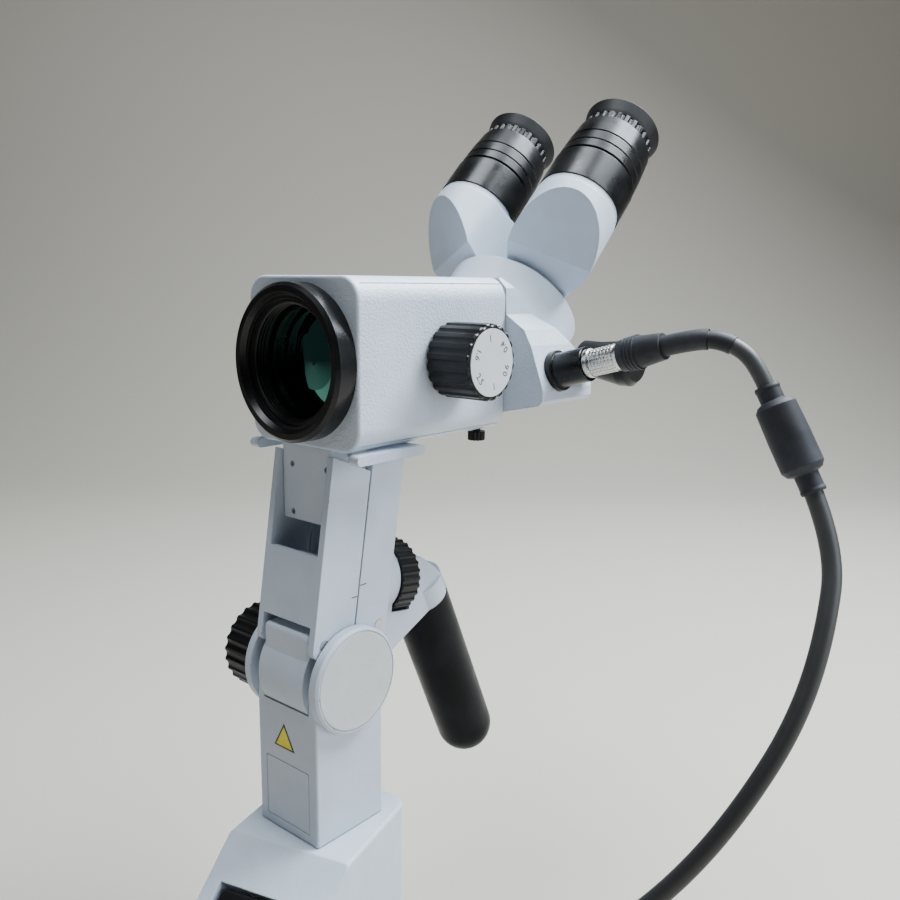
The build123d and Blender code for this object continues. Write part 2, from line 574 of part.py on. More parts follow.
ring_profile = [(RING_BORE, RING_PROUD + 3), (RING_BORE, 4.5), (RING_BORE + 1.5, 4.5), (RING_BORE + 1.5, 2.6),
                (RING_BORE + 3.0, 2.6), (RING_BORE + 4.4, 0), (RING_R - 1.6, 0), (RING_R, 1.6),
                (RING_R, RING_PROUD), (RING_BORE + 2.4, RING_PROUD), (RING_BORE + 2.4, RING_PROUD + 3)]
ring_plane = Plane(origin=(0, HEAD_FRONT - RING_PROUD, HEAD_Z), x_dir=(1, 0, 0), z_dir=(0, 1, 0))
save("objective_ring", ring_plane * turned(ring_profile))

lens_cell = ring_bar((0, HEAD_FRONT + HEAD_WALL + 1.1, HEAD_Z), (0, 1, 0), LENS_R + 4, LENS_R - 1.5, 13)
lens_cell -= rod((0, HEAD_FRONT + HEAD_WALL + 3, HEAD_Z), (0, 1, 0), LENS_R + 0.02, 7.5)
save("lens_cell", lens_cell)

lens = turned([(0, 0.2), (LENS_R * 0.5, 0.9), (LENS_R, 3.0), (LENS_R, 7.4), (0, 7.4)])
save("objective_lens", Plane(origin=(0, HEAD_FRONT + HEAD_WALL + 3.05, HEAD_Z), z_dir=(0, 1, 0)) * lens)

mirror = Pos(0, HEAD_FRONT + 27.5, HEAD_Z - 14) * Rot(45, 0, 0) * Box(18, 16, 2.4)
save("deflection_mirror", mirror)
lamp = head_slab(-12, 12, 17.5, 37.5, -HALF_HEIGHT + HEAD_WALL + 0.1, -HALF_HEIGHT + HEAD_WALL + 10)
lamp += rod((0, HEAD_FRONT + 27.5, HEAD_Z - HALF_HEIGHT + HEAD_WALL + 9), (0, 0, 1), 7, 5)
save("lamp_module", lamp)

drum_origin = (0, HEAD_FRONT + DRUM_Y, HEAD_Z)
drum_plane = Plane(origin=drum_origin, z_dir=(1, 0, 0))
drum = Pos(0, 0, -DRUM_W / 2) * Cylinder(DRUM_R, DRUM_W, align=LOW)
drum += Pos(0, 0, -HALF_HEAD - 9) * Cylinder(DRUM_SHAFT_R, HEAD_W + 22, align=LOW)
tilts = (0, 60, 120)
for tilt in tilts:
    for side in (-1, 1):
        beam = Rot(0, 0, tilt) * Rot(90, 0, 0) * Cylinder(BEAM_R, 2 * DRUM_R + 2)
        drum -= Pos(0, 0, side * LENS_PAIR_X) * beam
save("magnification_drum", drum_plane * drum)

lenses = []
for tilt in tilts[1:]:
    for side in (-1, 1):
        for end, thickness in ((-1, 2.5), (1, 3.5)):
            place = Pos(0, 0, side * LENS_PAIR_X) * Rot(0, 0, tilt) * Rot(90, 0, 0)
            lenses.append(drum_plane * place * Pos(0, 0, end * (DRUM_R - 5)) * Cylinder(BEAM_R, thickness))
save("changer_lenses", Compound(children=lenses))


def drum_knob(height):
    blank = fluted(KNOB_R, height, 20, 2.0, 0.9)
    return chamfer(blank.faces().sort_by(Axis.Z)[-1].edges(), 0.6)


knob = drum_knob(KNOB_PROUD - 0.8) - Cylinder(DRUM_SHAFT_R, 16, align=LOW)
knob -= Pos(0, 0, KNOB_PROUD - 2.0) * Cylinder(DIAL_R + 0.1, 4, align=LOW)
save("magnification_knob", Plane(origin=(HALF_HEAD + 0.8, *drum_origin[1:]), z_dir=(1, 0, 0)) * knob)
dial = Cylinder(DIAL_R, 1.6, align=LOW)
save("magnification_dial",
     Plane(origin=(HALF_HEAD + 0.8 + KNOB_PROUD - 2.0, *drum_origin[1:]), z_dir=(1, 0, 0)) * dial)
left_knob = drum_knob(LEFT_KNOB_T) - Cylinder(DRUM_SHAFT_R, 8.6, align=LOW)
save("left_drum_knob", Plane(origin=(-HALF_HEAD - 0.8, *drum_origin[1:]), z_dir=(-1, 0, 0)) * left_knob)

# ---------------------------------------------------------------- rear casting
REAR_Y0 = HEAD_L + REAR_GAP
REAR_Y1 = HEAD_L + REAR_L
half = [(0, HALF_HEIGHT), (HALF_HEAD - 5, HALF_HEIGHT), (HALF_HEAD, HALF_HEIGHT - 5), (HALF_HEAD + 0.6, 20),
        (47.6, 12.8), (52.0, 5.0), (REAR_HALF_W - 1.5, -12), (REAR_HALF_W, -17), (REAR_HALF_W, -22),
        (REAR_HALF_W - 2.4, -24.3), (REAR_HALF_W - 23, REAR_FLOOR), (0, REAR_FLOOR)]
outline = half + [(-x, z) for x, z in reversed(half[1:-1])]
front_face = Plane(origin=(0, HEAD_FRONT + REAR_Y0, HEAD_Z), x_dir=(1, 0, 0), z_dir=(0, -1, 0))
rear_body = extrude(front_face * make_face(Polyline(*outline, close=True)), amount=-(REAR_Y1 - REAR_Y0))
side_cut = [(REAR_Y0 - 1, REAR_FLOOR - 1), (REAR_Y1 + 1, REAR_FLOOR - 1),
            (REAR_Y1 + 1, SLOPE_SUM - REAR_Y1 - 1), (REAR_Y0 - 1, SLOPE_SUM - REAR_Y0 + 1)]
side_cut = [(y + HEAD_FRONT, z + HEAD_Z) for y, z in side_cut]
rear_body &= side_prism(side_cut, -80, 80)
plan_cut = [(-80, REAR_Y0 - 1), (80, REAR_Y0 - 1), (80, REAR_Y0 + 32), (38, REAR_Y1 + 1), (-38, REAR_Y1 + 1),
            (-80, REAR_Y0 + 32)]
plan_face = Pos(0, HEAD_FRONT, 200) * make_face(Polyline(*plan_cut, close=True))
rear_body &= extrude(plan_face, amount=250)
inner_tube = head_slab(-26, 26, REAR_Y0 - 1, REAR_Y0 + 30, -22, 26)
inner_tube &= side_prism([(y - 5, z - 5) for y, z in side_cut], -80, 80)
rear_body -= inner_tube
socket_dir = (math.cos(math.radians(PLUG_RISE)), 0, math.sin(math.radians(PLUG_RISE)))


def on_socket(distance):
    """Point on the socket's axis."""
    return tuple(p + distance * d for p, d in zip(SOCKET_AT, socket_dir))


rear_body -= rod(on_socket(-14), socket_dir, SOCKET_R_OUT, 40)
rear_body -= rod(on_socket(FLANGE_AT), socket_dir, FLANGE_R + RUN_FIT, 20)
FILTER_DIR = (math.cos(math.radians(FILTER_DROP)), 0, -math.sin(math.radians(FILTER_DROP)))
filter_inside = tuple(p - 14 * d for p, d in zip(FILTER_KNOB_AT, FILTER_DIR))
filter_hole = rod(filter_inside, FILTER_DIR, FILTER_SHAFT_R + RUN_FIT, 40)
rear_body -= filter_hole
beam_planes = [tube_plane(TURRET_A0 - 30, INPUT_V, side * LENS_PAIR_X) for side in (-1, 1)]
for beam_plane in beam_planes:
    rear_body -= beam_plane * Cylinder(7.0, 60, align=LOW)
save("rear_casting", rear_body)

# ---------------------------------------------------------------- cable socket and filter knob
socket_profile = [(0, -8), (SOCKET_R_OUT - RUN_FIT, -8), (SOCKET_R_OUT - RUN_FIT, FLANGE_AT),
                  (FLANGE_R, FLANGE_AT), (FLANGE_R, FLANGE_AT + 3.0), (SOCKET_R_OUT, 5.6),
                  (SOCKET_R_OUT - 0.2, SOCKET_LEN),
                  (PLUG_R + 0.4, SOCKET_LEN), (PLUG_R + 0.4, SOCKET_LEN - 9), (0, SOCKET_LEN - 9)]
save("cable_socket", Plane(origin=SOCKET_AT, x_dir=(0, 1, 0), z_dir=socket_dir) * turned(socket_profile))

filter_profile = [(0, -12), (FILTER_SHAFT_R, -12), (FILTER_SHAFT_R, 11.4), (8.4, 11.4), (9.2, 12.6),
                  (9.4, 22), (11.4, 36), (11.0, 41), (8.5, 43.5), (0, 43.5)]
filter_plane = Plane(origin=FILTER_KNOB_AT, x_dir=(0, 1, 0), z_dir=FILTER_DIR)
save("filter_knob", filter_plane * turned(filter_profile))

# ---------------------------------------------------------------- binocular tube
turret = tube_plane(TURRET_A0, TURRET_V) * Cylinder(TURRET_R, TURRET_A1 - TURRET_A0, align=LOW)
turret = chamfer(turret.faces().sort_by(Axis((0, 0, 0), (0, 1, 1)))[-1].edges(), 3.0)
for side in (-1, 1):
    turret -= tube_plane(TURRET_A0 - 1, INPUT_V, side * LENS_PAIR_X) * Cylinder(
        SPIGOT_R + RUN_FIT, TURRET_A1 - TURRET_A0 + 2, align=LOW)
save("tube_base", turret)

def facet_cut(side, rise, level):
    """Everything below a sloping plane through the eyepiece axis at the given level."""
    plane = tube_plane(level, EYE_V, side * EYE_X)
    normal = Vector(-side * rise[0], 0, 0) + plane.z_dir + plane.y_dir * rise[1]
    return Plane(origin=plane.origin, z_dir=normal) * Pos(0, 0, -100) * Box(300, 300, 200)


def tube_housing(side):
    base = tube_plane(TURRET_A1 + TUBE_GAP, EYE_V, side * EYE_X)
    height = TUBE_TOP - TURRET_A1 - TUBE_GAP
    dx = side * (LENS_PAIR_X - EYE_X)
    dy = EYE_V - INPUT_V
    outline = make_hull((Circle(TUBE_R) + Pos(dx, dy) * Circle(INPUT_R)).edges())
    body = extrude(base * outline, amount=height)
    body -= facet_cut(side, FACET, FACET_A)
    body -= facet_cut(side, UNDER, UNDER_A)
    collar = Cylinder(TUBE_R - 0.6, SLEEVE_START - TUBE_TOP, align=LOW)
    body += tube_plane(TUBE_TOP, EYE_V, side * EYE_X) * collar
    spigot = tube_plane(TURRET_A0 + 2, INPUT_V, side * LENS_PAIR_X) * Cylinder(
        SPIGOT_R, TURRET_A1 + 6 - TURRET_A0, align=LOW)
    spigot -= tube_plane(TURRET_A0 + 1, INPUT_V, side * LENS_PAIR_X) * Cylinder(
        SPIGOT_R - 1.5, TURRET_A1 + 5 - TURRET_A0, align=LOW)
    body += spigot
    body -= tube_plane(SLEEVE_START - BARREL_REACH, EYE_V, side * EYE_X) * Cylinder(
        EYEPIECE_BORE + 2, BARREL_REACH + 5, align=LOW)
    return body


def eyepiece_barrel(side):
    r = TUBE_R
    spigot_end = 1 - BARREL_REACH
    profile = [(EYEPIECE_BORE, spigot_end), (EYEPIECE_BORE + 1.95, spigot_end), (EYEPIECE_BORE + 1.95, 0.05),
               (r, 0.05), (r, 20.5), (r - 1.3, 20.8), (r - 1.3, 22.3), (r - 0.4, 22.7), (r - 0.5, 27.8),
               (r - 1.1, 28.2), (r - 1.1, 28.7), (r - 0.6, 29.1), (r - 0.8, 35.0), (r - 1.4, 35.4),
               (r - 1.4, 35.9), (r - 0.9, 36.3), (r - 2.0, RING_AT), (EYEPIECE_BORE + 3.3, RING_AT),
               (EYEPIECE_BORE + 3.3, RING_AT - 7.5), (EYEPIECE_BORE, RING_AT - 7.5)]
    return tube_plane(SLEEVE_START, EYE_V, side * EYE_X) * turned(profile)


def diopter_ring(side):
    blank = Pos(0, 0, RING_AT + 0.2) * fluted(KNURL_R, RING_LEN, 26, 1.8, 0.9)
    blank += Pos(0, 0, RING_AT - 7) * Cylinder(EYEPIECE_BORE + 3.2, 8, align=LOW)
    blank -= Pos(0, 0, RING_AT - 8) * Cylinder(EYEPIECE_BORE + 0.3, 20, align=LOW)
    return tube_plane(SLEEVE_START, EYE_V, side * EYE_X) * blank


def eyecup(side):
    foot = RING_AT + RING_LEN + 0.3
    bore = EYEPIECE_BORE + 0.3
    profile = [(bore, foot), (KNURL_R - 0.6, foot), (KNURL_R, foot + 1.8), (CUP_R, foot + 8),
               (CUP_R - 0.8, foot + 9), (CUP_R - 2.2, foot + 8.6), (KNURL_R - 3.0, foot + 3.2), (bore, foot + 2.2)]
    return tube_plane(SLEEVE_START, EYE_V, side * EYE_X) * turned(profile)


def eye_lens(side):
    rim = EYEPIECE_BORE + 0.25
    profile = [(0, RING_AT + 1.5), (rim, RING_AT + 1.5), (rim, RING_AT + 5.7), (10, RING_AT + 7.1),
               (0, RING_AT + 7.7)]
    return tube_plane(SLEEVE_START, EYE_V, side * EYE_X) * turned(profile)


def prism(side):
    """Rhomboid prism that carries the beam from the input axis out to the eyepiece axis."""
    base = tube_plane(TURRET_A1 + 8, (EYE_V + INPUT_V) / 2, side * (EYE_X + LENS_PAIR_X) / 2)
    angle = math.degrees(math.atan2(INPUT_V - EYE_V, side * (EYE_X - LENS_PAIR_X)))
    return base * Rot(0, 0, angle) * Box(26, 13, 13, align=LOW)


for name, side in (("left", -1), ("right", 1)):
    tube = tube_housing(side)
    block = prism(side)
    save(f"tube_housing_{name}", tube - block)
    save(f"prism_{name}", block & tube)
    save(f"eyepiece_{name}", eyepiece_barrel(side))
    save(f"diopter_ring_{name}", diopter_ring(side))
    save(f"eye_lens_{name}", eye_lens(side))
    save(f"eyecup_{name}", eyecup(side))

clamp_screw = fluted(4.4, 4.6, 14, 0.9, 0.4)
clamp_screw += Pos(0, 0, -2.0) * Cylinder(2.0, 2.0, align=LOW)
save("rear_clamp_screw", Plane(origin=(*CLAMP_SCREW_AT, PLATE_TOP - 0.6), z_dir=(0, 0, -1)) * clamp_screw)

# ---------------------------------------------------------------- plug and cable
plug_profile = [(0, 12.6), (5.9, 12.6), (5.9, 22), (PLUG_R, 22), (PLUG_R, 24.4), (6.2, 24.8),
                (6.2, BOOT_START), (0, BOOT_START)]
socket_plane = Plane(origin=SOCKET_AT, x_dir=(0, 1, 0), z_dir=socket_dir)
save("plug", socket_plane * turned(plug_profile))

boot_profile = [(0, BOOT_START), (7.6, BOOT_START), (8.0, BOOT_START + 7), (6.3, BOOT_END), (0, BOOT_END)]
save("plug_boot", socket_plane * turned(boot_profile))


def cable_tube(points, diameter):
    """A tube along straight runs joined by arcs, and its length; prints the arcs' radii."""
    path = [Vector(*p) for p in points]
    runs = [b - a for a, b in zip(path, path[1:])]
    radii = []
    for run, following in zip(runs, runs[1:]):
        half_turn = math.radians(run.get_angle(following) / 2)
        radii.append(0.45 * min(run.length, following.length) / math.tan(half_turn))
    wire = FilletPolyline(*path, radius=radii)
    section = Plane(origin=path[0], z_dir=runs[0]) * Circle(diameter / 2)
    tube = sweep(section, path=wire)
    print([round(r, 1) for r in radii], "length", round(wire.length, 1),
          "volume ratio", round(tube.volume / (math.pi * diameter ** 2 / 4 * wire.length), 3))
    return tube


hose_route = [(181, 115, 301), (198, 114, 271), (201, 98, 234), (197, 84, 201), (185, 69, 168),
              (169, 56, 137), (148, 45, 108), (123, 36, 83)]
gland_axis = (math.cos(math.radians(HOUSING_TURN)), math.sin(math.radians(HOUSING_TURN)))
gland_x = HOUSING_HALF_W + GLAND_LEN
gland_mouth = (gland_x * gland_axis[0] - GLAND_Y * gland_axis[1],
               gland_x * gland_axis[1] + GLAND_Y * gland_axis[0], GLAND_Z)
hose_route.append((gland_mouth[0] + LAST_RUN * gland_axis[0],
                   gland_mouth[1] + LAST_RUN * gland_axis[1], GLAND_Z))
hose_route.append(gland_mouth)

choke_dir = (Vector(*hose_route[1]) - Vector(*hose_route[0])).normalized()
choke_top = Vector(*hose_route[0]) - choke_dir * CHOKE_LEN
thin_route = [on_socket(BOOT_END), on_socket(BOOT_END + THIN_RUN), (137.0, 113.5, 354.1),
              (147.7, 115.5, 351.2), tuple(choke_top - choke_dir * THIN_RUN), tuple(choke_top)]
save("thin_cable", cable_tube(thin_route, CABLE_D))
save("hose", cable_tube(hose_route, HOSE_D))

hose_r = HOSE_D / 2 + RUN_FIT
choke_end = CHOKE_LEN + CHOKE_SLEEVE
choke_profile = [(0, 0), (NECK_R, 0), (NECK_R + 0.35, 1.2), (NECK_R, 2.4), (NECK_R, 7.0), (CHOKE_R - 2.0, 8.0),
                 (CHOKE_R - 0.4, 10.0), (CHOKE_R, 24.0), (CHOKE_R, 38.0), (CHOKE_R - 1.6, 40.5),
                 (NECK_R, 41.5), (NECK_R, choke_end - 2.4), (NECK_R + 0.35, choke_end - 1.2),
                 (NECK_R, choke_end), (hose_r, choke_end), (hose_r, CHOKE_LEN), (0, CHOKE_LEN)]
save("cable_choke", Plane(origin=choke_top, z_dir=choke_dir) * turned(choke_profile))
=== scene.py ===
import math

import bmesh
import bpy
from mathutils import Matrix, Quaternion, Vector


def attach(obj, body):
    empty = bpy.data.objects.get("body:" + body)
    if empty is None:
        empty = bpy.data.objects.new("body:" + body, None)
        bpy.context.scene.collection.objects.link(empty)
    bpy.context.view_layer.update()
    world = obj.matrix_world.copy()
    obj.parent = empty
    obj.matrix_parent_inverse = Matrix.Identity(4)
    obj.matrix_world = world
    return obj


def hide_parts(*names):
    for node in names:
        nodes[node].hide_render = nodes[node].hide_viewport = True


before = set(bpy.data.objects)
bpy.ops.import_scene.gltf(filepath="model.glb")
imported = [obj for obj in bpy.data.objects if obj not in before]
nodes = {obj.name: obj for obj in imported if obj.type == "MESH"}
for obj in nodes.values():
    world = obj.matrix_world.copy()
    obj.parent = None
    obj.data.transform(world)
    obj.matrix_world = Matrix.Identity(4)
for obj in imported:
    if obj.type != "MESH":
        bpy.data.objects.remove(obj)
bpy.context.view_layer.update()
MM = 0.001


# ================================================================ node materials
class Surface:
    """A node material around one Principled shader, built a step at a time."""

    def __init__(self, name, colour, roughness, metallic=0.0, specular=0.5):
        self.material = bpy.data.materials.new(name)
        self.material.use_nodes = True
        self.tree = self.material.node_tree
        self.shader = self.tree.nodes["Principled BSDF"]
        self.shader.inputs["Base Color"].default_value = (*colour, 1)
        self.shader.inputs["Roughness"].default_value = roughness
        self.shader.inputs["Metallic"].default_value = metallic
        self.shader.inputs["Specular IOR Level"].default_value = specular
        self.coordinates = self.tree.nodes.new("ShaderNodeTexCoord").outputs["Object"]

    def join(self, source, target):
        self.tree.links.new(source, target)

    def node(self, kind, **settings):
        made = self.tree.nodes.new(kind)
        for key, value in settings.items():
            setattr(made, key, value)
        return made

    def stretched(self, scale):
        mapping = self.node("ShaderNodeMapping")
        mapping.inputs["Scale"].default_value = scale
        self.join(self.coordinates, mapping.inputs["Vector"])
        return mapping.outputs["Vector"]

    def noise(self, per_metre, detail=3.0, rough=0.55, vector=None):
        texture = self.node("ShaderNodeTexNoise")
        texture.inputs["Scale"].default_value = per_metre
        texture.inputs["Detail"].default_value = detail
        texture.inputs["Roughness"].default_value = rough
        self.join(vector or self.coordinates, texture.inputs["Vector"])
        return texture.outputs["Fac"]

    def cells(self, per_metre, smooth=0.6):
        texture = self.node("ShaderNodeTexVoronoi", feature="SMOOTH_F1")
        texture.inputs["Scale"].default_value = per_metre
        texture.inputs["Smoothness"].default_value = smooth
        self.join(self.coordinates, texture.inputs["Vector"])
        return texture.outputs["Distance"]

    def ranged(self, value, low, high, out_low, out_high):
        node = self.node("ShaderNodeMapRange")
        for key, number in (("From Min", low), ("From Max", high), ("To Min", out_low), ("To Max", out_high)):
            node.inputs[key].default_value = number
        self.join(value, node.inputs["Value"])
        return node.outputs["Result"]

    def maths(self, operation, a, b):
        node = self.node("ShaderNodeMath", operation=operation)
        for socket, value in zip(node.inputs, (a, b)):
            if isinstance(value, (int, float)):
                socket.default_value = value
            else:
                self.join(value, socket)
        return node.outputs["Value"]

    def blend_colours(self, factor, first, second):
        node = self.node("ShaderNodeMix", data_type="RGBA")
        self.join(factor, node.inputs["Factor"])
        for name, value in (("A", first), ("B", second)):
            socket = [s for s in node.inputs if s.name == name and s.type == "RGBA"][0]
            if isinstance(value, tuple):
                socket.default_value = (*value, 1)
            else:
                self.join(value, socket)
        return [s for s in node.outputs if s.type == "RGBA"][0]

    def colour(self, socket):
        self.join(socket, self.shader.inputs["Base Color"])

    def roughness(self, socket):
        self.join(socket, self.shader.inputs["Roughness"])

    def bump(self, height, depth, normal=None, strength=1.0):
        node = self.node("ShaderNodeBump")
        node.inputs["Strength"].default_value = strength
        node.inputs["Distance"].default_value = depth
        self.join(height, node.inputs["Height"])
        if normal:
            self.join(normal, node.inputs["Normal"])
        self.join(node.outputs["Normal"], self.shader.inputs["Normal"])
        return node.outputs["Normal"]

    def edge(self, radius):
        """How far the rounded edge normal turns from the face normal: 0 on faces, up on edges."""
        bevel = self.node("ShaderNodeBevel", samples=4)
        bevel.inputs["Radius"].default_value = radius
        flat = self.node("ShaderNodeNewGeometry").outputs["Normal"]
        dot = self.node("ShaderNodeVectorMath", operation="DOT_PRODUCT")
        self.join(bevel.outputs["Normal"], dot.inputs[0])
        self.join(flat, dot.inputs[1])
        return self.maths("SUBTRACT", 1.0, dot.outputs["Value"]), bevel.outputs["Normal"]


PAINT_EDGE = 0.0007          # metres, how far the edges of painted parts look rounded
BLACK_EDGE = 0.0004          # the same on black parts
CHIP_COLOUR = (0.05, 0.05, 0.055)


def paint(name, colour, grain, depth, chips):
    """Textured powder coat: fine leathery grain, faint mottling, dirt and dark chips on worn edges."""
    s = Surface(name, colour, 0.42)
    darker = tuple(c * 0.93 for c in colour)
    mottled = s.blend_colours(s.ranged(s.noise(55, 4), 0.35, 0.65, 0, 1), colour, darker)
    edge, rounded = s.edge(PAINT_EDGE)
    worn = s.ranged(s.noise(230, 5, 0.7), chips, chips + 0.04, 0, 1)
    patches = s.ranged(s.noise(30, 2), 0.50, 0.60, 0, 1)
    chip = s.maths("MULTIPLY", s.maths("MULTIPLY", s.ranged(edge, 0.03, 0.12, 0, 1), worn), patches)
    s.colour(s.blend_colours(chip, mottled, CHIP_COLOUR))
    s.roughness(s.ranged(s.noise(400, 2), 0.3, 0.7, 0.38, 0.5))
    grains = s.maths("ADD", s.cells(grain), s.maths("MULTIPLY", s.noise(grain * 2.1, 3), 0.6))
    s.bump(s.maths("SUBTRACT", grains, s.maths("MULTIPLY", chip, 0.6)), depth, rounded)
    return s.material


def plain_black(name, colour, roughness, grain, depth, specular=0.3):
    """Black plastic, rubber or anodised metal with fine grain and a slightly lighter bloom."""
    s = Surface(name, colour, roughness, specular=specular)
    bloom = tuple(min(1.0, c * 2.2 + 0.004) for c in colour)
    s.colour(s.blend_colours(s.ranged(s.noise(38, 5, 0.6), 0.45, 0.75, 0, 1), colour, bloom))
    s.roughness(s.ranged(s.noise(90, 4), 0.3, 0.7, roughness - 0.06, roughness + 0.08))
    rounded = s.edge(BLACK_EDGE)[1]
    s.bump(s.noise(grain, 3), depth, rounded)
    return s.material


def bright(name, colour, roughness, scale=(1, 1, 1), streak=900):
    """Bare or plated metal with fine turning marks along one direction."""
    s = Surface(name, colour, roughness, metallic=1.0)
    lines = s.noise(streak, 3, 0.6, s.stretched(scale))
    s.roughness(s.ranged(lines, 0.3, 0.7, roughness - 0.06, roughness + 0.1))
    s.bump(lines, 0.00002)
    return s.material


BODY = (0.54, 0.60, 0.69)   # cool pale grey
finish = {
    "head_paint": paint("head_paint", BODY, 900, 0.00016, 0.60),
    "body_paint": paint("body_paint", BODY, 1900, 0.00006, 0.58),
    "cover_paint": paint("cover_paint", (0.56, 0.575, 0.59), 1500, 0.00009, 0.62),
    "black_anodised": plain_black("black_anodised", (0.0035, 0.0036, 0.004), 0.30, 2600, 0.00001),
    "black_plastic": plain_black("black_plastic", (0.004, 0.004, 0.0045), 0.36, 1800, 0.00002),
    "grip_plastic": plain_black("grip_plastic", (0.0015, 0.0018, 0.003), 0.34, 2400, 0.00004, 0.1),
    "soft_rubber": plain_black("soft_rubber", (0.016, 0.017, 0.021), 0.55, 1400, 0.00004),
    "eyecup_rubber": plain_black("eyecup_rubber", (0.005, 0.005, 0.006), 0.5, 1400, 0.00004),
    "dark_metal": plain_black("dark_metal", (0.03, 0.03, 0.032), 0.5, 1500, 0.00004),
    "steel": bright("steel", (0.55, 0.55, 0.56), 0.32),
    "bronze": bright("bronze", (0.55, 0.36, 0.16), 0.38),
    "aluminium": bright("aluminium", (0.66, 0.66, 0.67), 0.35),
    "plated": bright("plated", (0.74, 0.73, 0.70), 0.24),
}


def lens_coating(name, tint, roughness=0.03):
    """Dark coated glass seen from outside: the coating's tint is in its reflection."""
    s = Surface(name, tint, roughness, metallic=1.0)
    facing = s.node("ShaderNodeLayerWeight")
    facing.inputs["Blend"].default_value = 0.35
    s.colour(s.blend_colours(facing.outputs["Facing"], tuple(c * 0.35 for c in tint), tint))
    return s.material


finish["coated_glass"] = lens_coating("coated_glass", (0.20, 0.62, 0.52))
finish["eye_glass"] = lens_coating("eye_glass", (0.22, 0.2, 0.42))

DIAL_GREY = (0.60, 0.61, 0.62)
DIAL_DUSTY = (0.54, 0.55, 0.56)
dial = Surface("dial_face", DIAL_GREY, 0.4)
dial.bump(dial.noise(1500, 3), 0.00002)
clouding = dial.ranged(dial.noise(60, 4), 0.4, 0.7, 0, 1)
dial.colour(dial.blend_colours(clouding, DIAL_GREY, DIAL_DUSTY))
finish["dial_face"] = dial.material


def sheath(name):
    """Rubber hose: black below, with painted light from above making its upper part a lighter grey, clouded
    by noise.
    """
    s = Surface(name, (0.015, 0.015, 0.016), 0.5)
    split = s.node("ShaderNodeSeparateXYZ")
    s.join(s.coordinates, split.inputs[0])
    # painted light: a ramp by height turns the upper hose and the thin cable lighter grey, as if lit from
    # above
    height = s.ranged(split.outputs["Z"], 0.17, 0.27, 0, 1)
    painted_upper_light = s.maths("MULTIPLY", height, s.ranged(s.noise(70, 4), 0.2, 0.7, 0.55, 1.0))
    s.colour(s.blend_colours(painted_upper_light, (0.010, 0.010, 0.011), (0.042, 0.042, 0.042)))
    s.bump(s.noise(1800, 3), 0.00003)
    return s.material


finish["sheath"] = sheath("sheath")

# ================================================================ finishes of the carried-over parts
looks = {
    "head_paint": ["head_casing", "rear_casting", "mount_plate"],
    "body_paint": ["housing_shell", "pillar", "label_panel", "tilt_base",
                   "front_link", "rear_link", "head_carrier",
                   "handle_bracket", "tube_base", "tube_housing_left", "tube_housing_right"],
    "cover_paint": ["tilt_cover_disc"],
    "black_anodised": ["objective_ring", "lens_cell", "cable_socket", "eyepiece_left", "eyepiece_right",
                       "diopter_ring_left", "diopter_ring_right"],
    "black_plastic": ["magnification_knob", "left_drum_knob", "tilt_clamp_knob",
                      "focus_wheel", "release_paddle",
                      "filter_knob", "rear_clamp_screw"],
    "grip_plastic": ["handle_grip"],
    "eyecup_rubber": ["eyecup_left", "eyecup_right"],
    "soft_rubber": ["plug_boot", "cable_choke", "hose_gland"],
    "dark_metal": ["housing_base_plate", "power_supply", "lamp_module"],
    "steel": ["pillar_spindle", "tilt_shaft", "lower_pivot_pins", "upper_pivot_pins", "focus_shaft"],
    "bronze": ["swivel_bearing", "focus_rack"],
    "aluminium": ["magnification_drum", "deflection_mirror"],
    "plated": ["plug"],
    "coated_glass": ["objective_lens", "changer_lenses", "prism_left", "prism_right"],
    "eye_glass": ["eye_lens_left", "eye_lens_right"],
    "dial_face": ["magnification_dial"],
    "sheath": ["thin_cable", "hose"],
}
for look, members in looks.items():
    for member in members:
        mesh = nodes[member].data
        mesh.materials.clear()
        mesh.materials.append(finish[look])


# ================================================================ cable
def cord_curve(name, route_mm, diameter_mm):
    """A smooth tube whose centreline is a NURBS spline through the route."""
    data = bpy.data.curves.new(name, "CURVE")
    data.dimensions = "3D"
    data.bevel_depth = diameter_mm * MM / 2
    data.bevel_resolution = 8
    data.resolution_u = 16
    data.use_fill_caps = True
    spline = data.splines.new("NURBS")
    spline.points.add(len(route_mm) - 1)
    for point, place in zip(spline.points, route_mm):
        point.co = (*(c * MM for c in place), 1)
    spline.order_u = 3
    spline.use_endpoint_u = True
    data.materials.append(finish["sheath"])
    curve = bpy.data.objects.new(name, data)
    bpy.context.scene.collection.objects.link(curve)
    return curve


PLUG_RISE = math.radians(15)
socket_at = Vector((54.5, 110.8, 333.3))
socket_dir = Vector((math.cos(PLUG_RISE), 0, math.sin(PLUG_RISE)))
BOOT_END = 63.0
THIN_RUN = 11.2
CHOKE_LEN = 38.5
THIN_D = 7.5
HOSE_D = 8.2
GLAND_REACH = 60.5           # gland mouth from the stand head's axis
GLAND_Y = 8
GLAND_Z = 62
LAST_RUN = 33                # of the hose, straight into the gland
HOUSING_TURN = math.radians(16)
gland_dir = Vector((math.cos(HOUSING_TURN), math.sin(HOUSING_TURN), 0))
gland_across = Vector((-math.sin(HOUSING_TURN), math.cos(HOUSING_TURN), 0))
gland_mouth = gland_dir * GLAND_REACH + gland_across * GLAND_Y + Vector((0, 0, GLAND_Z))

hose_route = [(181, 115, 301), (198, 114, 271), (201, 98, 234), (197, 84, 201), (185, 69, 168),
              (169, 56, 137), (148, 45, 108), (123, 36, 83), gland_mouth + gland_dir * LAST_RUN, gland_mouth]
choke_dir = (Vector(hose_route[1]) - Vector(hose_route[0])).normalized()
choke_top = Vector(hose_route[0]) - choke_dir * CHOKE_LEN
boot_end = socket_at + socket_dir * BOOT_END
thin_route = [boot_end, boot_end + socket_dir * THIN_RUN, (137.0, 113.5, 354.1), (147.7, 115.5, 351.2),
              choke_top - choke_dir * THIN_RUN, choke_top]

